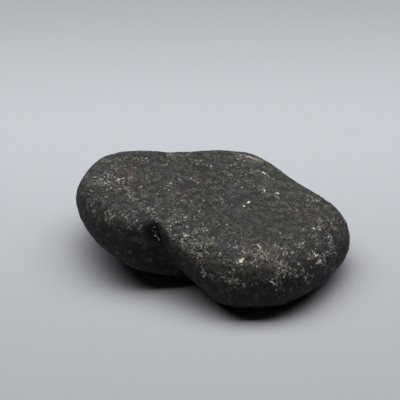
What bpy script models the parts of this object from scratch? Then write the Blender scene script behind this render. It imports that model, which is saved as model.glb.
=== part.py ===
"""A river pebble: one water-worn stone, flattish, longer than wide, with a notch in one long side.

The stone lies on its broad belly, with its narrower lobe held clear of the ground. +X runs along it
towards its fuller lobe, +Y across it, away from the notch, and +Z up. The origin is on the resting
plane, under the middle of the stone's box. Lengths are in millimetres up to the last step, which
makes the mesh in metres.
"""
import bmesh
import bpy
import numpy as np
from mathutils import Vector, noise

MILLIMETRES_PER_METRE = 1000.0

# The line round the stone where it is widest, anticlockwise as seen from above, laid out on a stone
# LAID_OUT_LENGTH long that lies flat. Each row is x, y, height, then how far the upper and the lower
# shoulder reach in from that line.
WAIST = (
    (46.0, 3.0, 10.0, 12.0, 12.0),
    (44.5, 13.0, 10.0, 12.0, 12.0),
    (40.0, 19.5, 10.0, 12.0, 12.0),
    (30.0, 24.0, 10.5, 12.0, 12.0),
    (17.5, 28.0, 11.0, 12.0, 12.0),
    (6.0, 33.0, 11.5, 12.0, 12.0),
    (-3.5, 34.5, 11.5, 12.0, 12.0),
    (-11.0, 31.5, 11.5, 12.0, 12.0),
    (-22.5, 23.5, 12.0, 12.0, 13.0),
    (-33.0, 14.0, 12.0, 12.5, 14.0),
    (-41.5, 9.0, 13.0, 12.0, 16.0),
    (-46.5, 3.5, 13.0, 12.0, 18.0),
    (-46.5, -5.0, 13.0, 12.0, 18.0),
    (-43.0, -14.0, 13.0, 11.0, 18.0),
    (-35.5, -21.5, 13.0, 9.0, 17.0),
    (-26.0, -27.0, 13.0, 8.0, 11.5),
    (-16.5, -28.0, 13.0, 8.0, 6.5),
    (-9.5, -26.5, 12.5, 7.0, 8.5),
    (-5.0, -23.0, 13.0, 6.5, 11.5),
    (0.0, -24.0, 14.0, 6.5, 14.0),
    (7.0, -26.5, 13.5, 7.5, 15.0),
    (14.0, -28.0, 12.0, 10.0, 13.0),
    (21.0, -30.0, 11.0, 12.0, 11.0),
    (28.5, -29.0, 10.5, 12.0, 10.5),
    (37.0, -23.5, 10.0, 12.0, 10.5),
    (43.5, -12.5, 10.0, 12.0, 11.0),
)
LAID_OUT_LENGTH = 89.1
LENGTH = 84.0                   # the stone's length that the rows are scaled to
WAIST_LIFT = 4.5                # rise of the narrower lobe's rows, in the units of the rows
WAIST_SHIFT = (3.7, -5.5)       # and how far they move over in plan as they rise
WAIST_LIFT_START = -10.0        # where that begins along the lobe's direction
WAIST_LIFT_END = 17.0           # and where it is whole

CENTRE = (5.5, -1.0)            # where the rings of both faces close
GRID_TURN = 0.091               # turns the rings so that one line of their points runs up the notch
SHOULDER_POWER = 2.2            # 2 rounds the shoulders as an ellipse, more makes them squarer
LEAST_CORE = 0.1                # the share of the way to the centre that no shoulder takes up

TOP_HEIGHT = 22.0               # upper face over the origin
TOP_SLOPE = 0.03                # fall of the upper face for each millimetre of x
TOP_CROWN = 0.0005              # and for each square millimetre away from the origin
BELLY_HEIGHT = -0.35            # lower face over the origin, before it is worn flat
BELLY_CROWN = 0.0012            # rise of the lower face for each square millimetre from there

# The narrower lobe is carried higher than the rest, its upper face all along the lobe and its
# underside towards the front, so that the stone rests on the belly and on the back of that lobe.
LOBE_LIFT = 4.2                 # rise of the upper face
LOBE_DIRECTION = (-0.866, -0.5)
LOBE_START = -9.5               # where the rise begins along that direction
LOBE_END = 16.0                 # and where it is whole
UNDER_LIFT = 6.0                # rise of the lower face
UNDER_DIRECTION = (-0.75, -0.66)
UNDER_START = 4.0
UNDER_END = 30.0

RINGS = 22                      # rings of faces from the waist to the centre
SHOULDER_RINGS = 12             # how many of them lie on the shoulder

# The notch between the two lobes leans to the right and deepens as it goes down.
NOTCH_PLACE = (-1.6, -24.0)     # its crease, at the height of the lean's middle
NOTCH_INWARD = (0.3, 0.954)     # direction into the stone, seen from above
NOTCH_LEAN = 0.56               # sideways shift for each millimetre down
NOTCH_LEAN_MIDDLE = 12.6        # height that does not shift
NOTCH_REACH = 10.0              # how far round the crease the lean is felt
GROOVE_HEAD = 18.3              # height of the groove's head
GROOVE_FOOT = 6.0
GROOVE_HEAD_DEPTH = 3.8
GROOVE_FOOT_DEPTH = 4.7
GROOVE_HALF_WIDTH = 5.2
GROOVE_ROUNDING = 0.12          # radius of the crease as a share of that half width
GROOVE_BEHIND = 8.5             # how far behind the crease the push into the stone dies away
GROOVE_FADE = 4.2               # height over which the groove dies away above its head
GROOVE_FOOT_FADE = 4.0          # and above the resting plane

PIT_PLACE = (-2.6, -26.9, 18.9)  # small cave at the head of the notch
PIT_RADIUS = 2.4
PIT_DEPTH = 1.7

# Shallow hollows worn in the upper face: x, y, radius, depth.
HOLLOWS = (
    (18.0, -4.0, 12.0, 0.5),
    (-21.0, -3.5, 8.5, 0.25),
    (3.0, 16.0, 7.5, 0.2),
)

# Unevenness of the whole surface: size of the swells, height of the swells.
SWELLS = (
    (16.0, 0.4),
    (7.0, 0.13),
)
SWELL_FADE = 3.8                # height over which the swells die away above the resting plane

NOTCH_WEAR_REACH = 9.5          # how far round the crease running water has smoothed its sides
NOTCH_WEAR_PASSES = 3


def closed_curve(knots, turns):
    """Read the smooth closed curve through the knots at the given fractions of a turn."""
    knots = np.array(knots)
    count = len(knots)
    after = np.roll(knots, -1, axis=0)
    before = np.roll(knots, 1, axis=0)
    gap = np.linalg.norm((after - knots)[:, :2], axis=1)[:, None]
    gap_before = np.roll(gap, 1)
    start = np.concatenate(([0.0], np.cumsum(gap)))
    system = np.zeros((count, count))
    for i in range(count):
        system[i, i - 1] = gap_before[i, 0]
        system[i, i] = 2.0 * (gap_before[i, 0] + gap[i, 0])
        system[i, (i + 1) % count] = gap[i, 0]
    bend = np.linalg.solve(system, 6.0 * ((after - knots) / gap - (knots - before) / gap_before))
    place = (np.asarray(turns) % 1.0) * start[-1]
    left = np.searchsorted(start, place, side="right") - 1
    right = (left + 1) % count
    span = gap[left]
    past_left = place[:, None] - start[left][:, None]
    to_right = span - past_left
    cubic = (bend[left] * to_right**3 + bend[right] * past_left**3) / (6.0 * span)
    from_left = (knots[left] / span - bend[left] * span / 6.0) * to_right
    from_right = (knots[right] / span - bend[right] * span / 6.0) * past_left
    return cubic + from_left + from_right


def fade(value):
    """Go smoothly from 0 to 1 as the value does."""
    value = np.clip(value, 0.0, 1.0)
    return value * value * (3.0 - 2.0 * value)


def share_along(x, y, direction, start, end):
    """Go smoothly from 0 at start to 1 at end, measured along the direction in plan."""
    return fade((x * direction[0] + y * direction[1] - start) / (end - start))


def waist_stations():
    """Work out the rows of the widest line at the stone's real size, the narrower lobe carried up."""
    rows = np.array(WAIST)
    rise = share_along(rows[:, 0], rows[:, 1], LOBE_DIRECTION, WAIST_LIFT_START, WAIST_LIFT_END)
    rows[:, 0] += WAIST_SHIFT[0] * rise
    rows[:, 1] += WAIST_SHIFT[1] * rise
    rows[:, 2] += WAIST_LIFT * rise
    return rows * (LENGTH / LAID_OUT_LENGTH)


def upper_face(x, y):
    crown = TOP_CROWN * (x**2 + y**2)
    lift = LOBE_LIFT * share_along(x, y, LOBE_DIRECTION, LOBE_START, LOBE_END)
    return TOP_HEIGHT - TOP_SLOPE * x - crown + lift


def lower_face(x, y):
    crown = BELLY_CROWN * (x**2 + y**2)
    return BELLY_HEIGHT + crown + UNDER_LIFT * share_along(x, y, UNDER_DIRECTION, UNDER_START, UNDER_END)


def ring_of_points(ring, face, shoulder_column):
    """Points of one ring, counted from the centre, on the upper or the lower face."""
    turns = np.arange(8 * ring) / (8.0 * ring) + GRID_TURN
    waist = closed_curve(waist_stations(), turns)
    centre = np.array(CENTRE)
    outward = waist[:, :2] - centre
    radius = np.linalg.norm(outward, axis=1)
    outward /= radius[:, None]
    shoulder = np.minimum(waist[:, shoulder_column], (1.0 - LEAST_CORE) * radius)
    step = RINGS - ring
    if step <= SHOULDER_RINGS:
        inset = shoulder * (1.0 - np.cos(0.5 * np.pi * step / SHOULDER_RINGS))
    else:
        share = (step - SHOULDER_RINGS) / (RINGS - SHOULDER_RINGS)
        inset = shoulder + (radius - shoulder) * share
    left_over = np.clip(1.0 - inset / shoulder, 0.0, 1.0)
    rise = np.sqrt(1.0 - left_over**SHOULDER_POWER)
    plan = centre + outward * (radius - inset)[:, None]
    height = waist[:, 2] + (face(plan[:, 0], plan[:, 1]) - waist[:, 2]) * rise
    return np.column_stack((plan, height))


def face_of_rings(face, shoulder_column):
    """Points of all the rings of one face, centre first."""
    x, y = CENTRE
    rings = [np.array([[x, y, face(x, y)]])]
    for ring in range(1, RINGS + 1):
        rings.append(ring_of_points(ring, face, shoulder_column))
    return np.concatenate(rings)


def grid_numbers():
    """Give each point's number by its place in a square grid: ring k is a square of 8k points."""
    numbers = {(0, 0): 0}
    sides = (((1, -1), (0, 1)), ((1, 1), (-1, 0)), ((-1, 1), (0, -1)), ((-1, -1), (1, 0)))
    for ring in range(1, RINGS + 1):
        for corner, step in sides:
            for k in range(2 * ring):
                place = (corner[0] * ring + step[0] * k, corner[1] * ring + step[1] * k)
                numbers[place] = len(numbers)
    return numbers


def grid_faces():
    """List the faces of the square grid by their corners.

    The squares on its two diagonals, where the rings turn their corners, are cut along them.
    """
    faces = []
    for column in range(-RINGS, RINGS):
        for row in range(-RINGS, RINGS):
            square = [(column, row), (column + 1, row), (column + 1, row + 1), (column, row + 1)]
            if column == row:
                faces += [square[:3], [square[0], square[2], square[3]]]
            elif column + row == -1:
                faces += [[square[0], square[1], square[3]], square[1:]]
            else:
                faces.append(square)
    return faces


def cut_groove(points):
    """Push the side in along the upright crease of the notch."""
    inward = np.array(NOTCH_INWARD)
    sideways = np.array((inward[1], -inward[0]))
    offset = points[:, :2] - np.array(NOTCH_PLACE)
    beside = np.hypot(offset @ sideways / GROOVE_HALF_WIDTH, GROOVE_ROUNDING)
    behind = np.clip(offset @ inward, 0.0, None)
    share = np.clip((points[:, 2] - GROOVE_FOOT) / (GROOVE_HEAD - GROOVE_FOOT), 0.0, 1.0)
    depth = GROOVE_FOOT_DEPTH + share * (GROOVE_HEAD_DEPTH - GROOVE_FOOT_DEPTH)
    depth *= np.clip(1.0 - beside, 0.0, None)**2
    depth *= np.exp(-(behind / GROOVE_BEHIND)**2)
    depth *= fade(1.0 - (points[:, 2] - GROOVE_HEAD) / GROOVE_FADE)
    depth *= fade(points[:, 2] / GROOVE_FOOT_FADE)
    points[:, :2] += depth[:, None] * inward


def lean_notch(points):
    """Shift the notch and the sides round it to the right as they go down."""
    distance = np.linalg.norm(points[:, :2] - np.array(NOTCH_PLACE), axis=1)
    weight = np.exp(-(distance / NOTCH_REACH)**2)
    points[:, 0] -= NOTCH_LEAN * (points[:, 2] - NOTCH_LEAN_MIDDLE) * weight


def press_pit(points):
    """Press the small cave into the stone, inwards and a little down."""
    distance = np.linalg.norm(points - np.array(PIT_PLACE), axis=1)
    depth = PIT_DEPTH * np.exp(-(distance / PIT_RADIUS)**2)
    points[:, :2] += depth[:, None] * np.array(NOTCH_INWARD)
    points[:, 2] -= 0.5 * depth


def wear_hollows(points):
    """Lower the upper face in wide shallow hollows."""
    for x, y, radius, depth in HOLLOWS:
        distance = np.hypot(points[:, 0] - x, points[:, 1] - y)
        on_top = fade((points[:, 2] - 0.6 * TOP_HEIGHT) / (0.3 * TOP_HEIGHT))
        points[:, 2] -= depth * np.exp(-(distance / radius)**2) * on_top


def wear_notch(mesh):
    """Smooth the sides of the notch, which the steps above leave a little rough."""
    crease = Vector((NOTCH_PLACE[0], NOTCH_PLACE[1]))
    near = [vert for vert in mesh.verts if (vert.co.xy - crease).length < NOTCH_WEAR_REACH]
    for _ in range(NOTCH_WEAR_PASSES):
        bmesh.ops.smooth_vert(mesh, verts=near, factor=0.5,
                              use_axis_x=True, use_axis_y=True, use_axis_z=True)


def add_swells(mesh):
    """Move the surface in and out in soft swells, less so close to the resting plane."""
    mesh.normal_update()
    shifts = []
    for vert in mesh.verts:
        swell = sum(height * noise.noise(vert.co / size) for size, height in SWELLS)
        shifts.append(vert.normal * swell * float(fade(vert.co.z / SWELL_FADE)))
    for vert, shift in zip(mesh.verts, shifts):
        vert.co += shift


def wear_flat(mesh):
    """Wear the belly flat at the resting plane, so that the stone rests on a real flat face."""
    for vert in mesh.verts:
        vert.co.z = max(vert.co.z, 0.0)


def centre_on_origin(mesh):
    """Put the middle of the stone's box over the origin."""
    low = [min(vert.co[axis] for vert in mesh.verts) for axis in range(2)]
    high = [max(vert.co[axis] for vert in mesh.verts) for axis in range(2)]
    middle = Vector((0.5 * (low[0] + high[0]), 0.5 * (low[1] + high[1]), 0.0))
    for vert in mesh.verts:
        vert.co -= middle


def stone_mesh():
    """Join the two faces along the waist and give the stone its worn surface."""
    upper = face_of_rings(upper_face, 3)
    lower = face_of_rings(lower_face, 4)
    rim = range(len(upper) - 8 * RINGS, len(upper))
    for points in (upper, lower):
        cut_groove(points)
        lean_notch(points)
        press_pit(points)
        wear_hollows(points)
    mesh = bmesh.new()
    upper_verts = [mesh.verts.new(point) for point in upper]
    lower_verts = [upper_verts[i] if i in rim else mesh.verts.new(lower[i])
                   for i in range(len(lower))]
    numbers = grid_numbers()
    for corners in grid_faces():
        mesh.faces.new([upper_verts[numbers[corner]] for corner in corners])
        mesh.faces.new([lower_verts[numbers[corner]] for corner in reversed(corners)])
    wear_notch(mesh)
    add_swells(mesh)
    wear_flat(mesh)
    centre_on_origin(mesh)
    bmesh.ops.scale(mesh, vec=[1.0 / MILLIMETRES_PER_METRE] * 3, verts=mesh.verts)
    return mesh


def stone_material():
    material = bpy.data.materials.new("dark stone")
    material.use_nodes = True
    surface = material.node_tree.nodes["Principled BSDF"]
    surface.inputs["Base Color"].default_value = (0.055, 0.056, 0.050, 1.0)
    surface.inputs["Roughness"].default_value = 0.7
    surface.inputs["Metallic"].default_value = 0.0
    return material


def make_stone():
    data = bpy.data.meshes.new("pebble")
    mesh = stone_mesh()
    mesh.to_mesh(data)
    mesh.free()
    data.shade_smooth()
    data.materials.append(stone_material())
    stone = bpy.data.objects.new("pebble", data)
    bpy.context.scene.collection.objects.link(stone)


for leftover in list(bpy.data.objects):
    bpy.data.objects.remove(leftover)
make_stone()
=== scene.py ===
import math
import random

import bmesh
import bpy
import numpy as np
from mathutils import Euler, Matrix, Vector, kdtree, noise
from mathutils.bvhtree import BVHTree


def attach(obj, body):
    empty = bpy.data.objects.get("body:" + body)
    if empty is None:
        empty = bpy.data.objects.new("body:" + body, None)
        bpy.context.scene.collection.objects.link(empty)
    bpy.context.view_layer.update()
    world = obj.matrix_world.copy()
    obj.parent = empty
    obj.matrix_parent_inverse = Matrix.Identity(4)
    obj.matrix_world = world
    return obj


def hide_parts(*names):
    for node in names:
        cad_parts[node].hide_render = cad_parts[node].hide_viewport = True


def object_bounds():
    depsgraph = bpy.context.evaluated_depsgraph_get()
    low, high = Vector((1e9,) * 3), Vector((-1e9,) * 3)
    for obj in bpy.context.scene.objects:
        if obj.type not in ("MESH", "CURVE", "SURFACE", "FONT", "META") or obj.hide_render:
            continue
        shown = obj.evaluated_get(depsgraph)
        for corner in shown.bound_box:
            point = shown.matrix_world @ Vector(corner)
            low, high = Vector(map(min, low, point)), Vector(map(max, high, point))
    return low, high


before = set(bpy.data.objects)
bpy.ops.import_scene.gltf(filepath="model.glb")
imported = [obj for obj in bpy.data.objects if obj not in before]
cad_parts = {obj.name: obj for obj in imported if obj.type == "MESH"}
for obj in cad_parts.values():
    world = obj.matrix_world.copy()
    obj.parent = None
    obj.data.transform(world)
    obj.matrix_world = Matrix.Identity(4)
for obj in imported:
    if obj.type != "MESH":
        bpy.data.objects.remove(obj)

CAD_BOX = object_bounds()

# Lengths are in millimetres and pixel places are in the 400 by 400 frame unless a name says otherwise.
MM = 0.001

# Camera. It looks at AIM, which shows at AIM_PIXEL, at PIXELS_PER_MM there.
FRAME_SIDE = 400
AIM = (-1.1, 0.8, 4.7)
AIM_PIXEL = (213, 235)
AZIMUTH = 30
ELEVATION = 35
DISTANCE = 490
PIXELS_PER_MM = 3.214
SENSOR = 36
NEAR_CLIP = 10
FAR_CLIP = 20000

# The plain floor: how far it reaches each way, its colour as linear red, green, blue, its finish.
FLOOR_REACH = 2000
FLOOR_COLOUR = (0.44, 0.455, 0.485, 1.0)
FLOOR_ROUGHNESS = 0.9
FLOOR_SPECULAR = 0.1

# The dim surround, and the soft boxes: how far each hangs behind the stone and above the floor, its
# width and depth, its power in watts and its spread in degrees.
SURROUND_COLOUR = (0.75, 0.8, 0.9, 1.0)
SURROUND_STRENGTH = 0.008
OVERHEAD = {"behind": 45, "above": 420, "size": (800, 280), "power": 1.73, "spread": 120}
POOL = {"behind": 80, "above": 300, "size": (460, 50), "power": 0.031, "spread": 38}

# The fine skin that stands for the stone: the distance at which doubled points are welded, the size
# of its faces, and the smoothing passes that even them, each moving a point by EVEN_SHARE of the way.
WELD = 0.001
SKIN_FACE = 0.40
SUBDIVISIONS = 2
EVEN_PASSES = 5
EVEN_SHARE = 0.5

# Wear: how far a point stands out from the stone after this many smoothing passes, full at WEAR_FULL.
WEAR_PASSES = 120
WEAR_FULL = 0.35

# Relief: wavelength and height of each layer of swells and grain, rougher on the worn rims. It fades
# away over the last FOOT_HEIGHT above the floor.
RELIEF = ((6.0, 0.08), (2.6, 0.07), (1.2, 0.06))
RELIEF_SEED = 10.0
RIM_ROUGHNESS = 0.6
FOOT_HEIGHT = 0.6

# Small round pores at random places: how many, the range of their radius, and the range of their
# depth before a second draw makes most of them shallower.
PORES = 700
PORE_RADIUS = (0.5, 1.2)
PORE_DEPTH = (0.08, 0.34)
PORE_SEED = 7

# Dust and pale grains lie where the surface faces up: how much its normal rises where the dust starts
# and where it is full, and the noise that makes that edge ragged. Steeper sides are painted darker,
# as shade, by the first share below, and the second takes flecks from them. Worn rims have more.
DUST_AND_UNSHADED_FROM, DUST_AND_UNSHADED_FULL = 0.15, 0.70
DUST_AND_UNSHADED_RAGGED = 0.22
DUST_AND_UNSHADED_WAVELENGTH = 2.2
DUST_AND_UNSHADED_SEED = 5.0
PAINTED_FLANK_SHADE = 0.50
SHADED_FLANK_FLECKS = 1.0
WORN_FLECKS = 0.35

# Patterns of noise in the stone's colour. Each has the size of its lumps, the noise's detail and
# roughness, a seed, the noise at which it starts and is full, and its least and greatest share.
PATTERNS = {
    "warm_ground": (8, 2, 0.5, 3, 0.42, 0.60, 0.0, 1.0),
    "brown_drift": (4, 2, 0.5, 11, 0.56, 0.70, 0.0, 1.0),
    "olive_drift": (5, 2, 0.5, 23, 0.56, 0.70, 0.0, 1.0),
    "blue_drift": (3, 2, 0.5, 31, 0.56, 0.68, 0.0, 1.0),
    "ragged_stain_and_painted_light": (1.6, 3, 0.6, 37, 0.30, 0.70, 0.2, 1.3),
    "dark_blotch": (1.6, 3, 0.6, 39, 0.50, 0.72, 0.0, 0.5),
    "fleck_patches": (3.6, 3, 0.6, 41, 0.40, 0.62, -0.9, 0.9),
    "bare_mottle": (2.2, 3, 0.6, 83, 0.50, 0.70, 0.0, 0.6),
    "bare_brown": (6, 1, 0.5, 87, 0.45, 0.55, 0.0, 1.0),
    "dark_gap": (1.5, 3, 0.6, 73, 0.50, 0.62, 0.0, 0.85),
    "haze": (2.2, 3, 0.6, 91, 0.47, 0.62, 0.0, 0.26),
    "blue_haze": (5, 1, 0.5, 93, 0.45, 0.55, 0.0, 1.0),
    "warm_fleck": (2.5, 2, 0.5, 67, 0.40, 0.60, 0.0, 1.0),
    "fine_grain": (0.42, 1, 0.5, 77, 0.48, 0.66, 0.0, 0.10),
    "fine_patches": (2.2, 2, 0.5, 79, 0.42, 0.60, 0.0, 1.0),
}

# The stone's colours, in 0 to 255 display values.
TONES = {
    "ground": (45, 47, 44),
    "warm_ground": (51, 50, 46),
    "brown_drift": (56, 49, 46),
    "olive_drift": (54, 54, 46),
    "blue_drift": (48, 49, 53),
    "dark_blotch": (30, 31, 29),
    "bare_mottle": (76, 78, 83),
    "bare_brown": (86, 80, 72),
    "dark_gap": (20, 20, 19),
    "haze": (106, 110, 101),
    "blue_haze": (104, 104, 111),
    "crowded_haze": (120, 112, 102),
    "fleck": (180, 182, 178),
    "warm_fleck": (186, 178, 166),
    "dark_spot": (22, 22, 21),
    "bright_grain": (170, 166, 156),
}

# Threads of pale mineral lie where noise crosses its middle value. "bend" is the size, reach and seed
# of what makes them ragged, and "noise" the size, detail, roughness and seed of the noise. They widen
# from one "width" to the other over the range of "crowding", and fade out at the distance from their
# line that "edge" gives in widths. "brightness" is noise as well.
THREADS = {
    "bend": (0.9, 0.35, 5),
    "noise": (1.2, 1, 0.5, 43),
    "crowding": (-1.0, 1.4),
    "width": (0.010, 0.042),
    "edge": (0.5, 1.1),
    "brightness": (0.9, 2, 0.6, 47),
}

# Clots and dots of pale mineral are cut from the peaks of noise, over the range of noise in "edge".
# "growth" is what is added to the noise at the two ends of "crowding".
CLOTS = {
    "bend": (0.7, 0.35, 8),
    "noise": (0.80, 3, 0.65, 57),
    "crowding": (-0.4, 1.8),
    "growth": (-0.13, 0.04),
    "edge": (0.58, 0.66),
    "brightness": (0.7, 2, 0.6, 63),
}
DOTS = {
    "bend": (0.5, 0.15, 6),
    "noise": (0.45, 1, 0.5, 53),
    "crowding": (-1.2, 1.4),
    "growth": (-0.08, 0.05),
    "edge": (0.60, 0.70),
    "brightness": (0.9, 2, 0.6, 59),
}

# How bright a fleck is: the range of noise, the greatest share, a power that keeps most of them faint,
# and what crowding adds to the noise.
FLECK_LEVELS = (0.42, 0.80)
FLECK_STRONGEST = 0.94
FLECK_CURVE = 1.5
FLECK_CROWDING = 0.07

# Dark gaps come in, and the haze turns brown, over these ranges of crowding. The mottling of the steep
# sides goes out over this range of the mask that marks dust and the tops left out of the painted shade.
GAP_CROWDING = (-0.6, 1.0)
HAZE_CROWDING = (0.0, 1.0)
MOTTLE_DUST_AND_UNSHADED = (0.0, 0.8)

# Small dark spots, cut from noise of this size, detail, roughness and seed, more where flecks crowd.
SPOT_NOISE = (0.6, 1, 0.5, 61)
SPOT_EDGE = (0.57, 0.66)
SPOT_SHARE = 0.9
SPOT_CROWDING = 0.04

# Bright single grains: one in some of the cells of this size. GRAIN_CHOICE is the chance above which
# a cell has one, to which crowding adds. The grain fades out with the distance from its middle, in
# cells, over GRAIN_EDGE, and lies only where there is dust.
GRAIN_CELL = 1.5
GRAIN_CHOICE = (0.86, 0.96)
GRAIN_CROWDING = 0.06
GRAIN_EDGE = (0.10, 0.20)
GRAIN_DUST_AND_UNSHADED = (0.1, 0.5)

# Specks that stand out: the size, reach and seed of what makes them ragged, and the shares of their
# half width between which they fade out.
SPECK_BEND = (0.5, 0.16, 9)
SPECK_EDGE = (0.7, 1.1)

# Finish: roughness, specular level, and fine bumps: their height, the noise that they come from, and
# the share of that height which the noise fills.
STONE_ROUGHNESS = 0.7
STONE_SPECULAR = 0.2
BUMP_HEIGHT = 0.10
BUMP_NOISE = (0.5, 3, 0.6, 71)
BUMP_SHARE = 0.5

# Where pale flecks crowd or are few: pixel places along the zone, its reach, the change.
FLECK_ZONES = (
    (((106, 178), (116, 182), (128, 190)), 4.5, 0.9),
    (((102, 199), (112, 202), (122, 205)), 3.2, -1.0),
    (((93, 211), (98, 214)), 1.5, 0.7),
    (((102, 215), (112, 219), (121, 222)), 1.6, 1.0),
    (((127, 215), (133, 222), (141, 230)), 1.8, 1.1),
    (((133, 226), (136, 228)), 0.8, -2.5),
    (((240, 216), (258, 218), (276, 219)), 6.0, -0.8),
    (((178, 214), (186, 226), (190, 236)), 3.0, 0.5),
    (((168, 230), (172, 238), (175, 245)), 1.5, 1.1),
    (((183, 242), (192, 253), (200, 266)), 2.4, 1.1),
    (((174, 251), (183, 262), (190, 270)), 1.2, -1.4),
    (((198, 262), (203, 270), (205, 276)), 1.4, 1.5),
    (((207, 275), (216, 280)), 1.6, 1.2),
    (((212, 262), (226, 268)), 2.0, -0.8),
    (((238, 246), (242, 256), (240, 264)), 1.8, 0.8),
    (((254, 246), (260, 252), (262, 260)), 2.0, 0.9),
    (((278, 248), (282, 258), (284, 270)), 1.8, 0.9),
    (((286, 264), (304, 264)), 1.6, -0.6),
    (((244, 272), (258, 280), (262, 290)), 2.6, -0.6),
    (((222, 276), (236, 279)), 1.6, 1.0),
    (((266, 281), (275, 284)), 1.3, 1.9),
    (((228, 284), (250, 287), (280, 289), (304, 282)), 1.8, 0.8),
    (((290, 272), (300, 276), (308, 279)), 1.9, 1.5),
    (((310, 250), (318, 256), (322, 263)), 2.2, 1.3),
    (((328, 251), (336, 257)), 2.2, 1.1),
    (((306, 232), (322, 236), (334, 240)), 4.0, 0.5),
    # These two thin the flecks on the left lobe's front flank and lower side, as painted shade that
    # darkens them.
    (((86, 222), (100, 234), (116, 246), (134, 252)), 3.0, -1.2),
    (((116, 250), (128, 259), (145, 264), (165, 262)), 4.0, -1.4),
)

# Stains, painted shade and a painted highlight: pixel places along the patch, its reach, colour,
# strength.
STAINS_AND_PAINTED_LIGHT = (
    (((126, 170), (130, 180), (128, 188)), 2.6, (84, 62, 57), 0.5),
    (((178, 190), (183, 195)), 2.0, (78, 60, 54), 0.5),
    (((308, 214), (316, 222)), 3.0, (80, 68, 62), 0.5),
    (((246, 250), (258, 254), (272, 252)), 2.6, (78, 64, 57), 0.5),
    (((314, 256), (320, 260)), 1.8, (74, 56, 50), 0.6),
    (((266, 262), (274, 266)), 1.8, (92, 86, 66), 0.5),
    (((234, 154), (245, 158), (253, 161)), 1.6, (98, 91, 82), 0.7),
    (((240, 155), (251, 157.5), (262, 161)), 0.6, (176, 166, 142), 0.9),
    (((181, 243), (188, 250), (196, 258), (201, 266)), 2.2, (128, 122, 110), 0.65),
    (((204, 264), (216, 268)), 2.2, (76, 71, 58), 0.4),
    (((236, 212), (270, 214)), 5.0, (52, 58, 51), 0.5),
    # A painted highlight along the right lobe's lower-left edge.
    (((205, 286), (208, 292), (212, 297)), 0.35, (130, 128, 122), 0.9),
    (((84, 200), (82, 215), (86, 228)), 3.2, (40, 42, 50), 0.8),
    (((212, 266), (250, 272), (290, 273), (322, 263)), 4.5, (44, 40, 34), 0.5),
    (((246, 246), (262, 252)), 3.0, (72, 58, 50), 0.4),
    (((322, 238), (334, 250)), 3.5, (42, 38, 34), 0.5),
    (((266, 172), (282, 186), (296, 194)), 4.0, (68, 70, 61), 0.6),
    # Painted shade in the cave at the head of the notch, and on the flank just left of it.
    (((155, 228), (159, 240)), 1.1, (12, 12, 14), 1.0),
    (((147, 227), (149, 234)), 1.0, (22, 22, 21), 0.7),
)

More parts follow.
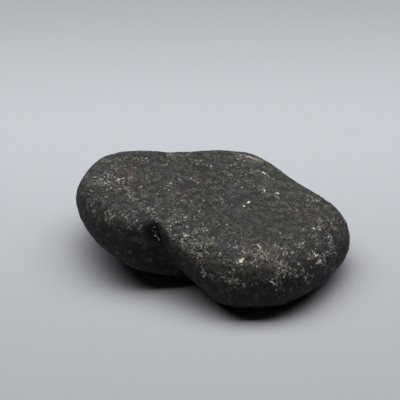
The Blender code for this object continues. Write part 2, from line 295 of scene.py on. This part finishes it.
# Specks that stand out: pixel place, half width, colour.
SPECKS = (
    (244, 206, 0.42, (205, 200, 188)),
    (249, 202, 0.46, (214, 212, 204)),
    (247.8, 203, 0.30, (190, 188, 180)),
    (241, 261, 0.62, (222, 216, 186)),
    (243, 259, 0.40, (206, 198, 168)),
    (263, 172.4, 0.38, (206, 204, 198)),
    (265, 173.4, 0.36, (200, 198, 192)),
    (268, 175.6, 0.26, (140, 140, 136)),
    (264, 189, 0.26, (190, 188, 180)),
    (264.6, 190.6, 0.34, (206, 204, 194)),
    (276.4, 192.8, 0.30, (200, 198, 190)),
    (278.2, 193.4, 0.34, (206, 202, 196)),
    (244.6, 161, 0.34, (150, 148, 138)),
    (246, 174.4, 0.30, (150, 152, 146)),
    (241.8, 187.4, 0.34, (160, 160, 154)),
    (211, 166, 0.34, (170, 168, 162)),
    (207, 230.6, 0.28, (180, 176, 166)),
    (116.4, 181.2, 0.24, (170, 162, 156)),
    (118.4, 179.8, 0.34, (200, 192, 186)),
    (120.2, 179, 0.24, (180, 172, 166)),
    (122.4, 178.6, 0.30, (206, 198, 192)),
    (124, 178, 0.24, (180, 172, 168)),
    (139.8, 187.4, 0.28, (186, 184, 160)),
    (141.6, 186.4, 0.28, (190, 188, 166)),
    (146.4, 158.4, 0.28, (186, 190, 182)),
    (131.9, 177.6, 0.30, (176, 170, 166)),
    (130.2, 196.6, 0.30, (176, 174, 168)),
    (132.8, 200.2, 0.26, (150, 150, 146)),
    (111.4, 187.4, 0.28, (160, 156, 152)),
    (91.4, 190.6, 0.34, (140, 136, 138)),
    (312.8, 251.4, 0.24, (206, 196, 188)),
    (314.6, 253.4, 0.26, (216, 206, 198)),
    (315.8, 255.6, 0.40, (238, 228, 220)),
    (317.6, 254.6, 0.24, (216, 206, 198)),
    (320.4, 260.4, 0.34, (226, 212, 206)),
    (318.6, 262, 0.32, (222, 208, 202)),
    (316.8, 263.4, 0.26, (206, 194, 188)),
    (308.4, 258.8, 0.28, (206, 196, 190)),
    (298.6, 264, 0.30, (186, 188, 180)),
    (257.6, 244.6, 0.28, (206, 200, 194)),
    (259, 246, 0.30, (210, 204, 198)),
    (260.4, 247.6, 0.20, (190, 184, 178)),
    (258.2, 250, 0.20, (176, 168, 162)),
    (220.2, 253.4, 0.26, (180, 178, 170)),
    (187.6, 227.4, 0.26, (176, 174, 168)),
    (313.8, 228.4, 0.32, (214, 208, 202)),
    (320, 229.6, 0.28, (196, 190, 184)),
    (328.6, 236.8, 0.32, (206, 204, 200)),
    (331, 240, 0.24, (170, 168, 166)),
    (203, 270, 0.26, (176, 176, 164)),
    (201.6, 272.4, 0.34, (190, 192, 178)),
    (204.6, 273.4, 0.34, (176, 178, 166)),
    (203.6, 276.2, 0.40, (190, 194, 180)),
    (205.6, 275, 0.24, (170, 172, 160)),
    (270.4, 281.4, 0.24, (190, 188, 180)),
    (272.2, 282, 0.32, (212, 210, 202)),
    (273.8, 283.4, 0.32, (206, 204, 196)),
    (274.6, 285, 0.22, (180, 178, 170)),
    (182, 264, 0.42, (104, 104, 106)),
    (117, 253, 0.80, (72, 73, 78)),
    (130, 252, 0.60, (74, 75, 78)),
    (154.3, 227.2, 0.30, (160, 160, 158)),
    (153.2, 229, 0.18, (130, 130, 128)),
    (153, 230.8, 0.28, (136, 136, 134)),
    (155.7, 232, 0.30, (166, 166, 164)),
    (156.4, 234, 0.18, (130, 130, 128)),
    (155, 235.6, 0.38, (204, 204, 202)),
    (156.6, 236.6, 0.22, (170, 170, 168)),
    (158, 237.6, 0.28, (176, 176, 174)),
    (159, 239.6, 0.34, (186, 186, 184)),
)

# Where the skin is pressed in, or raised if the depth is below 0: pixel places, reach, depth. In turn
# the cave at the head of the notch, the rear edge beside the left lobe, and the far right edge.
DENTS = (
    (((155, 228), (158, 238)), 1.2, 1.0),
    (((150, 156), (166, 157), (180, 156)), 4.0, -0.75),
    (((304, 192), (312, 196), (320, 200)), 4.0, 0.4),
)


def linear(red, green, blue):
    """A colour written in 0 to 255 display values, as the shader's linear red, green, blue, alpha."""
    shares = []
    for value in (red, green, blue):
        share = value / 255
        shares.append(share / 12.92 if share <= 0.04045 else ((share + 0.055) / 1.055) ** 2.4)
    return (*shares, 1.0)


# ---------------------------------------------------------------- camera and studio

def direction(azimuth, elevation):
    """Unit vector from the stone towards a viewer at that azimuth and elevation."""
    turn = math.radians(azimuth)
    rise = math.radians(elevation)
    return Vector((math.sin(turn) * math.cos(rise), -math.cos(turn) * math.cos(rise), math.sin(rise)))


def make_camera():
    """A long lens that looks down at the stone, turned so that AIM shows at AIM_PIXEL."""
    focal_pixels = PIXELS_PER_MM * DISTANCE
    data = bpy.data.cameras.new("camera")
    data.sensor_width = SENSOR
    data.lens = SENSOR * focal_pixels / FRAME_SIDE
    data.clip_start = NEAR_CLIP * MM
    data.clip_end = FAR_CLIP * MM
    camera = bpy.data.objects.new("camera", data)
    bpy.context.collection.objects.link(camera)
    outward = direction(AZIMUTH, ELEVATION)
    camera.location = (Vector(AIM) + outward * DISTANCE) * MM
    right = AIM_PIXEL[0] - FRAME_SIDE / 2
    down = AIM_PIXEL[1] - FRAME_SIDE / 2
    look = outward.to_track_quat("Z", "Y")
    offset = Euler((math.atan(down / focal_pixels), math.atan(right / focal_pixels), 0)).to_quaternion()
    camera.rotation_mode = "QUATERNION"
    camera.rotation_quaternion = look @ offset
    bpy.context.scene.camera = camera
    return camera


def make_floor():
    """A plain pale floor."""
    reach = FLOOR_REACH * MM
    mesh = bpy.data.meshes.new("floor")
    corners = [(-reach, -reach, 0), (reach, -reach, 0), (reach, reach, 0), (-reach, reach, 0)]
    mesh.from_pydata(corners, [], [(0, 1, 2, 3)])
    floor = bpy.data.objects.new("floor", mesh)
    bpy.context.collection.objects.link(floor)
    material = bpy.data.materials.new("pale_floor")
    material.use_nodes = True
    shader = material.node_tree.nodes["Principled BSDF"]
    shader.inputs["Base Color"].default_value = FLOOR_COLOUR
    shader.inputs["Roughness"].default_value = FLOOR_ROUGHNESS
    shader.inputs["Specular IOR Level"].default_value = FLOOR_SPECULAR
    mesh.materials.append(material)


def soft_box(name, box):
    """A white soft box that hangs level, its width along the camera's right."""
    data = bpy.data.lights.new(name, "AREA")
    data.shape = "RECTANGLE"
    data.size = box["size"][0] * MM
    data.size_y = box["size"][1] * MM
    data.spread = math.radians(box["spread"])
    data.energy = box["power"]
    lamp = bpy.data.objects.new(name, data)
    bpy.context.collection.objects.link(lamp)
    turn = math.radians(AZIMUTH)
    backward = Vector((-math.sin(turn), math.cos(turn), 0))
    lamp.location = (backward * box["behind"] + Vector((0, 0, box["above"]))) * MM
    lamp.rotation_euler = (0, 0, turn)


def make_studio():
    """A wide soft box overhead, a weaker one that lights the floor behind the stone, a dim surround."""
    soft_box("overhead", OVERHEAD)
    soft_box("floor_pool", POOL)
    world = bpy.data.worlds.new("surround")
    bpy.context.scene.world = world
    world.use_nodes = True
    background = world.node_tree.nodes["Background"]
    background.inputs["Color"].default_value = SURROUND_COLOUR
    background.inputs["Strength"].default_value = SURROUND_STRENGTH
    settings = bpy.context.scene.view_settings
    settings.view_transform = "Standard"
    settings.look = "None"


# ---------------------------------------------------------------- the stone's skin

def points_of(mesh):
    """The mesh's vertices in millimetres, one row each."""
    values = np.empty(3 * len(mesh.vertices), np.float32)
    mesh.vertices.foreach_get("co", values)
    return values.reshape(-1, 3).astype(float) / MM


def put_points(mesh, points):
    """Writes millimetre points back as the mesh's vertices."""
    mesh.vertices.foreach_set("co", (points * MM).astype(np.float32).ravel())
    mesh.update()


def normals_of(mesh):
    """The mesh's vertex normals, one row each."""
    values = np.empty(3 * len(mesh.vertices), np.float32)
    mesh.vertex_normals.foreach_get("vector", values)
    return values.reshape(-1, 3).astype(float)


def links_of(mesh):
    """The two ends of every edge, and how many edges each vertex has."""
    ends = np.empty(2 * len(mesh.edges), np.int32)
    mesh.edges.foreach_get("vertices", ends)
    ends = ends.reshape(-1, 2)
    return ends, np.bincount(ends.ravel(), minlength=len(mesh.vertices))


def averaged(values, links, passes, share=1.0):
    """The values moved towards the mean of their neighbours, pass after pass."""
    ends, count = links
    size = len(count)
    values = values.reshape(size, -1).copy()
    for _ in range(passes):
        for column in range(values.shape[1]):
            near = values[:, column]
            total = np.bincount(ends[:, 0], near[ends[:, 1]], size)
            total += np.bincount(ends[:, 1], near[ends[:, 0]], size)
            values[:, column] = near + share * (total / count - near)
    return values


def fade(value, low, high):
    """0 below low, 1 above high, and a smooth rise between."""
    share = np.clip((value - low) / (high - low), 0, 1)
    return share * share * (3 - 2 * share)


def even_skin(node):
    """A fine, even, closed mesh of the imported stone's own form, without its facets."""
    mesh = node.data.copy()
    cage = bmesh.new()
    cage.from_mesh(mesh)
    bmesh.ops.remove_doubles(cage, verts=cage.verts, dist=WELD * MM)
    cage.to_mesh(mesh)
    cage.free()
    shape = bpy.data.objects.new("stone_cage", mesh)
    bpy.context.collection.objects.link(shape)
    rounded = shape.modifiers.new("rounded", "SUBSURF")
    rounded.levels = SUBDIVISIONS
    rounded.render_levels = SUBDIVISIONS
    even = shape.modifiers.new("even", "REMESH")
    even.mode = "VOXEL"
    even.voxel_size = SKIN_FACE * MM
    depsgraph = bpy.context.evaluated_depsgraph_get()
    fine = bpy.data.meshes.new_from_object(shape.evaluated_get(depsgraph))
    bpy.data.objects.remove(shape)
    fine.name = "river_pebble"
    return fine


def smooth_noise(points, wavelength, seed):
    """Smooth noise of that wavelength, about -1 to 1, one value a point."""
    shift = Vector((seed, -seed, 2 * seed))
    return np.array([noise.noise(Vector(point) / wavelength + shift) for point in points])


def press_pores(points, depth):
    """Adds small round pores at random places to each point's depth."""
    draw = random.Random(PORE_SEED)
    tree = kdtree.KDTree(len(points))
    for index, point in enumerate(points):
        tree.insert(point, index)
    tree.balance()
    for _ in range(PORES):
        centre = points[draw.randrange(len(points))]
        radius = draw.uniform(*PORE_RADIUS)
        deepest = draw.uniform(*PORE_DEPTH) * draw.random()
        for _, index, distance in tree.find_range(Vector(centre), radius):
            depth[index] += deepest * (1 - (distance / radius) ** 2) ** 2


def add_relief(mesh, sight):
    """Gives the skin its swells, grain, pores and dents, and gives back how worn each point is."""
    links = links_of(mesh)
    points = averaged(points_of(mesh), links, EVEN_PASSES, EVEN_SHARE)
    put_points(mesh, points)
    normals = normals_of(mesh)
    broad = averaged(points, links, WEAR_PASSES)
    wear = np.clip(np.sum((points - broad) * normals, axis=1) / WEAR_FULL, -1, 1)
    rim = 1 + RIM_ROUGHNESS * np.clip(wear, 0, 1)
    lift = np.zeros(len(points))
    for layer, (wavelength, height) in enumerate(RELIEF):
        lift += rim * height * smooth_noise(points, wavelength, RELIEF_SEED + layer)
    depth = np.zeros(len(points))
    press_pores(points, depth)
    lift -= depth
    for pixels, reach, deepest in DENTS:
        lift -= deepest * share_near(points, sight, pixels, reach)
    lift *= fade(points[:, 2], 0.0, FOOT_HEIGHT)
    points = points + normals * lift[:, None]
    low, high = np.array(CAD_BOX[0]) / MM, np.array(CAD_BOX[1]) / MM
    put_points(mesh, np.clip(points, low, high))
    return wear


class Sight:
    """Finds the place on the stone that shows at a pixel."""

    def __init__(self, camera, mesh):
        """Keeps where the camera is and how it is turned, and the skin's faces for the rays to meet."""
        self.eye = camera.location.copy()
        self.turn = camera.rotation_quaternion.copy()
        corners = [vertex.co.copy() for vertex in mesh.vertices]
        self.tree = BVHTree.FromPolygons(corners, [face.vertices for face in mesh.polygons])

    def place(self, across, down):
        """The place in millimetres where the ray through that pixel meets the skin."""
        focal_pixels = PIXELS_PER_MM * DISTANCE
        ray = Vector((across - FRAME_SIDE / 2, FRAME_SIDE / 2 - down, -focal_pixels))
        hit = self.tree.ray_cast(self.eye, (self.turn @ ray).normalized())[0]
        return hit / MM


def share_near(points, sight, pixels, reach):
    """1 on the chain of places that show at these pixels, fading away over about that reach."""
    places = [np.array(sight.place(*pixel)) for pixel in pixels]
    nearest = np.full(len(points), np.inf)
    for start, end in zip(places, places[1:]):
        along = end - start
        share = np.clip((points - start) @ along / (along @ along), 0, 1)
        nearest = np.minimum(nearest, np.linalg.norm(points - start - share[:, None] * along, axis=1))
    return np.exp(-(nearest / reach) ** 2)


def add_value(mesh, name, values):
    """Stores one value a point under that name, for the material to read."""
    attribute = mesh.attributes.new(name, "FLOAT", "POINT")
    attribute.data.foreach_set("value", values.astype(np.float32))


def add_zones(mesh, sight, wear):
    """Records, point by point, where dust lies and where steep sides get painted shade, how flecked the
    stone is, and its stains, painted shade and painted highlight with their colour.
    """
    points = points_of(mesh)
    flecks = WORN_FLECKS * wear
    for pixels, reach, change in FLECK_ZONES:
        flecks += change * share_near(points, sight, pixels, reach)
    # The mask rises where the surface faces up: dust lies there, and the steep sides below it get painted
    # shade.
    upward = normals_of(mesh)[:, 2] + DUST_AND_UNSHADED_RAGGED * smooth_noise(points, DUST_AND_UNSHADED_WAVELENGTH, DUST_AND_UNSHADED_SEED)
    dust_and_unshaded = fade(upward, DUST_AND_UNSHADED_FROM, DUST_AND_UNSHADED_FULL)
    add_value(mesh, "dust_and_unshaded", dust_and_unshaded)
    # Steep sides lose flecks, as part of their painted shade.
    add_value(mesh, "flecks", flecks - SHADED_FLANK_FLECKS * (1 - dust_and_unshaded))
    stain_and_painted_light = np.zeros((len(points), 4))
    for pixels, reach, colour, strength in STAINS_AND_PAINTED_LIGHT:
        share = strength * share_near(points, sight, pixels, reach)
        total = np.maximum(stain_and_painted_light[:, 3] + share, 1e-6)
        stain_and_painted_light[:, :3] += (np.array(linear(*colour)[:3]) - stain_and_painted_light[:, :3]) * (share / total)[:, None]
        stain_and_painted_light[:, 3] = np.clip(total, 0, 1)
    add_value(mesh, "stain_and_painted_light_share", stain_and_painted_light[:, 3])
    attribute = mesh.attributes.new("stain_and_painted_light", "FLOAT_COLOR", "POINT")
    attribute.data.foreach_set("color", stain_and_painted_light.astype(np.float32).ravel())


def make_stone(camera):
    """The fine skin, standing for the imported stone."""
    mesh = even_skin(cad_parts["pebble"])
    wear = add_relief(mesh, Sight(camera, mesh))
    # The relief has moved the skin, so what is drawn on it is placed by a new look at it.
    sight = Sight(camera, mesh)
    add_zones(mesh, sight, wear)
    mesh.polygons.foreach_set("use_smooth", np.ones(len(mesh.polygons), bool))
    mesh.materials.clear()
    mesh.materials.append(stone_material(sight))
    stone = bpy.data.objects.new("pebble_skin", mesh)
    bpy.context.collection.objects.link(stone)
    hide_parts("pebble")
    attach(stone, "root")


# ---------------------------------------------------------------- the stone's material

def add(tree, kind, inputs=(), **settings):
    """A shader node with these settings. Each input is a socket to join or a plain value."""
    node = tree.nodes.new(kind)
    for name, value in settings.items():
        setattr(node, name, value)
    for name, value in dict(inputs).items():
        if isinstance(value, bpy.types.NodeSocket):
            tree.links.new(value, node.inputs[name])
        else:
            node.inputs[name].default_value = value
    return node


def stored(tree, name):
    """The value stored under that name at each point of the skin."""
    return add(tree, "ShaderNodeAttribute", attribute_name=name).outputs["Fac"]


def grain(tree, place, size, detail, roughness, seed):
    """Noise whose lumps are about size millimetres, 0 to 1."""
    moved = add(tree, "ShaderNodeVectorMath", {0: place, 1: (seed, -seed, 2 * seed)}, operation="ADD")
    values = {"Vector": moved.outputs[0], "Scale": 1 / size, "Detail": detail, "Roughness": roughness}
    return add(tree, "ShaderNodeTexNoise", values).outputs["Fac"]


def ramp(tree, value, low, high, start=0.0, end=1.0):
    """start below low, end above high, and a smooth change between."""
    values = {"Value": value, "From Min": low, "From Max": high, "To Min": start, "To Max": end}
    return add(tree, "ShaderNodeMapRange", values, interpolation_type="SMOOTHSTEP").outputs[0]


def combine(tree, first, second, operation="ADD"):
    """Two values joined by one step of arithmetic, a sum unless the operation says otherwise."""
    return add(tree, "ShaderNodeMath", {0: first, 1: second}, operation=operation).outputs[0]


def blend(tree, factor, under, over):
    """The colour under, covered by the colour over as far as factor says."""
    return add(tree, "ShaderNodeMix", {0: factor, 6: under, 7: over}, data_type="RGBA").outputs[2]


def pattern(tree, place, name):
    """The share, at each place, of one of the PATTERNS."""
    size, detail, roughness, seed, low, high, least, greatest = PATTERNS[name]
    return ramp(tree, grain(tree, place, size, detail, roughness, seed), low, high, least, greatest)


def tone(name):
    """One of the TONES as a linear colour."""
    return linear(*TONES[name])


def warped(tree, place, size, reach, seed):
    """The place moved about by up to reach, so that what is drawn from it has ragged outlines."""
    moved = add(tree, "ShaderNodeVectorMath", {0: place, 1: (seed, seed, seed)}, operation="ADD")
    values = {"Vector": moved.outputs[0], "Scale": 1 / size, "Detail": 1.0}
    colour = add(tree, "ShaderNodeTexNoise", values).outputs["Color"]
    middle = (0.5, 0.5, 0.5)
    centred = add(tree, "ShaderNodeVectorMath", {0: colour, 1: middle}, operation="SUBTRACT").outputs[0]
    scaled = add(tree, "ShaderNodeVectorMath", {0: centred, 3: 2 * reach}, operation="SCALE").outputs[0]
    return add(tree, "ShaderNodeVectorMath", {0: place, 1: scaled}, operation="ADD").outputs[0]


def ground_colour(tree, place):
    """The dark ground between the flecks: grey-green, with weak drifts, stains, painted shade and a
    painted highlight, and dark blotches.
    """
    colour = blend(tree, pattern(tree, place, "warm_ground"), tone("ground"), tone("warm_ground"))
    for drift in ("brown_drift", "olive_drift", "blue_drift"):
        colour = blend(tree, pattern(tree, place, drift), colour, tone(drift))
    # Besides real stains, this carries the painted shade by the notch's pit and the painted highlight on
    # the right lobe's edge.
    stain_and_painted_light = add(tree, "ShaderNodeAttribute", attribute_name="stain_and_painted_light").outputs["Color"]
    ragged = pattern(tree, place, "ragged_stain_and_painted_light")
    colour = blend(tree, combine(tree, stored(tree, "stain_and_painted_light_share"), ragged, "MULTIPLY"), colour, stain_and_painted_light)
    return blend(tree, pattern(tree, place, "dark_blotch"), colour, tone("dark_blotch"))


def shade_and_mottle_flanks(tree, place, dust_and_unshaded, colour):
    """Paints shade on the steep sides by darkening them, and mottles them grey and brown."""
    black = (0.0, 0.0, 0.0, 1.0)
    # Painted shade: the steep sides are darkened towards black.
    colour = blend(tree, ramp(tree, dust_and_unshaded, 0.0, 1.0, PAINTED_FLANK_SHADE, 0.0), colour, black)
    tint = blend(tree, pattern(tree, place, "bare_brown"), tone("bare_mottle"), tone("bare_brown"))
    bare = ramp(tree, dust_and_unshaded, *MOTTLE_DUST_AND_UNSHADED, 1.0, 0.0)
    mottled = combine(tree, pattern(tree, place, "bare_mottle"), bare, "MULTIPLY")
    return blend(tree, mottled, colour, tint)


def crowding(tree, place):
    """How the flecks crowd: above 0 where they are many, by set zones and by patches of chance."""
    return combine(tree, stored(tree, "flecks"), pattern(tree, place, "fleck_patches"))


def dark_gaps(tree, place, near_flecks, colour):
    """Dark gaps between the flecks."""
    share = combine(tree, pattern(tree, place, "dark_gap"), near_flecks, "MULTIPLY")
    return blend(tree, share, colour, tone("dark_gap"))


def dusty_haze(tree, place, dust_and_unshaded, crowd, colour):
    """A pale haze of dust, browner where flecks crowd."""
    tint = blend(tree, pattern(tree, place, "blue_haze"), tone("haze"), tone("blue_haze"))
    tint = blend(tree, ramp(tree, crowd, *HAZE_CROWDING), tint, tone("crowded_haze"))
    share = combine(tree, pattern(tree, place, "haze"), dust_and_unshaded, "MULTIPLY")
    return blend(tree, share, colour, tint)


def fine_grains(tree, place, dust_and_unshaded, colour, pale):
    """Faint, very fine pale grains in patches, where dust lies."""
    patches = combine(tree, pattern(tree, place, "fine_patches"), dust_and_unshaded, "MULTIPLY")
    share = combine(tree, pattern(tree, place, "fine_grain"), patches, "MULTIPLY")
    return blend(tree, share, colour, pale)


def brightness(tree, place, crowd, kind):
    """How bright each fleck is: mostly faint, a few strong, stronger where flecks crowd."""
    more = combine(tree, crowd, FLECK_CROWDING, "MULTIPLY")
    level = combine(tree, grain(tree, place, *kind["brightness"]), more)
    level = ramp(tree, level, *FLECK_LEVELS, 0.0, FLECK_STRONGEST)
    return combine(tree, level, FLECK_CURVE, "POWER")


def thread_share(tree, place, crowd, kind):
    """Thin broken threads of pale mineral, wider where flecks crowd."""
    level = grain(tree, warped(tree, place, *kind["bend"]), *kind["noise"])
    off_line = combine(tree, level, 0.5, "SUBTRACT")
    off_line = combine(tree, off_line, 0.0, "ABSOLUTE")
    width = ramp(tree, crowd, *kind["crowding"], *kind["width"])
    threads = ramp(tree, combine(tree, off_line, width, "DIVIDE"), *kind["edge"], 1.0, 0.0)
    return combine(tree, threads, brightness(tree, place, crowd, kind), "MULTIPLY")


def lump_share(tree, place, crowd, kind):
    """Ragged clots or small dots of pale mineral, more of them where flecks crowd."""
    level = grain(tree, warped(tree, place, *kind["bend"]), *kind["noise"])
    growth = ramp(tree, crowd, *kind["crowding"], *kind["growth"])
    lumps = ramp(tree, combine(tree, level, growth), *kind["edge"])
    return combine(tree, lumps, brightness(tree, place, crowd, kind), "MULTIPLY")


def dark_spots(tree, place, near_flecks, colour):
    """Small dark spots over all, a few more of them near the flecks."""
    more = combine(tree, near_flecks, SPOT_CROWDING, "MULTIPLY")
    share = ramp(tree, combine(tree, grain(tree, place, *SPOT_NOISE), more), *SPOT_EDGE, 0.0, SPOT_SHARE)
    return blend(tree, share, colour, tone("dark_spot"))


def bright_grains(tree, place, dust_and_unshaded, crowd, colour):
    """Single bright grains, one in some of the cells, where dust lies."""
    cells = add(tree, "ShaderNodeTexVoronoi", {"Vector": place, "Scale": 1 / GRAIN_CELL})
    chance = add(tree, "ShaderNodeSeparateColor", {0: cells.outputs["Color"]}).outputs[0]
    chance = combine(tree, chance, combine(tree, crowd, GRAIN_CROWDING, "MULTIPLY"))
    near = ramp(tree, cells.outputs["Distance"], *GRAIN_EDGE, 1.0, 0.0)
    near = combine(tree, near, ramp(tree, dust_and_unshaded, *GRAIN_DUST_AND_UNSHADED), "MULTIPLY")
    share = combine(tree, ramp(tree, chance, *GRAIN_CHOICE), near, "MULTIPLY")
    return blend(tree, share, colour, tone("bright_grain"))


def single_specks(tree, place, sight, colour):
    """The specks that stand out, each at its own place."""
    ragged = warped(tree, place, *SPECK_BEND)
    for across, down, half_width, speck_colour in SPECKS:
        centre = sight.place(across, down)
        away = add(tree, "ShaderNodeVectorMath", {0: ragged, 1: centre}, operation="DISTANCE")
        low, high = (share * half_width for share in SPECK_EDGE)
        spot = ramp(tree, away.outputs["Value"], low, high, 1.0, 0.0)
        colour = blend(tree, spot, colour, linear(*speck_colour))
    return colour


def stone_material(sight):
    """Dark grey-green stone with mottled tints, a fine network of pale flecks and a few bright specks,
    with painted shade on the steep sides and by the notch's pit, and a painted highlight on one edge.
    """
    material = bpy.data.materials.new("river_stone")
    material.use_nodes = True
    tree = material.node_tree
    shader = tree.nodes["Principled BSDF"]
    metres = add(tree, "ShaderNodeTexCoord").outputs["Object"]
    place = add(tree, "ShaderNodeVectorMath", {0: metres, 3: 1 / MM}, operation="SCALE").outputs[0]
    dust_and_unshaded = stored(tree, "dust_and_unshaded")
    crowd = crowding(tree, place)
    near_flecks = ramp(tree, crowd, *GAP_CROWDING)
    pale = blend(tree, pattern(tree, place, "warm_fleck"), tone("fleck"), tone("warm_fleck"))

    colour = ground_colour(tree, place)
    # Painted shade on the steep sides, with a grey and brown mottle.
    colour = shade_and_mottle_flanks(tree, place, dust_and_unshaded, colour)
    colour = dark_gaps(tree, place, near_flecks, colour)
    colour = dusty_haze(tree, place, dust_and_unshaded, crowd, colour)
    colour = fine_grains(tree, place, dust_and_unshaded, colour, pale)
    colour = blend(tree, thread_share(tree, place, crowd, THREADS), colour, pale)
    for kind in (CLOTS, DOTS):
        colour = blend(tree, lump_share(tree, place, crowd, kind), colour, pale)
    colour = dark_spots(tree, place, near_flecks, colour)
    colour = bright_grains(tree, place, dust_and_unshaded, crowd, colour)
    colour = single_specks(tree, place, sight, colour)

    tree.links.new(colour, shader.inputs["Base Color"])
    shader.inputs["Roughness"].default_value = STONE_ROUGHNESS
    shader.inputs["Specular IOR Level"].default_value = STONE_SPECULAR
    height = combine(tree, grain(tree, place, *BUMP_NOISE), BUMP_SHARE, "MULTIPLY")
    bump = add(tree, "ShaderNodeBump", {"Height": height, "Strength": 1.0, "Distance": BUMP_HEIGHT * MM})
    tree.links.new(bump.outputs[0], shader.inputs["Normal"])
    return material


camera = make_camera()
make_floor()
make_studio()
make_stone(camera)

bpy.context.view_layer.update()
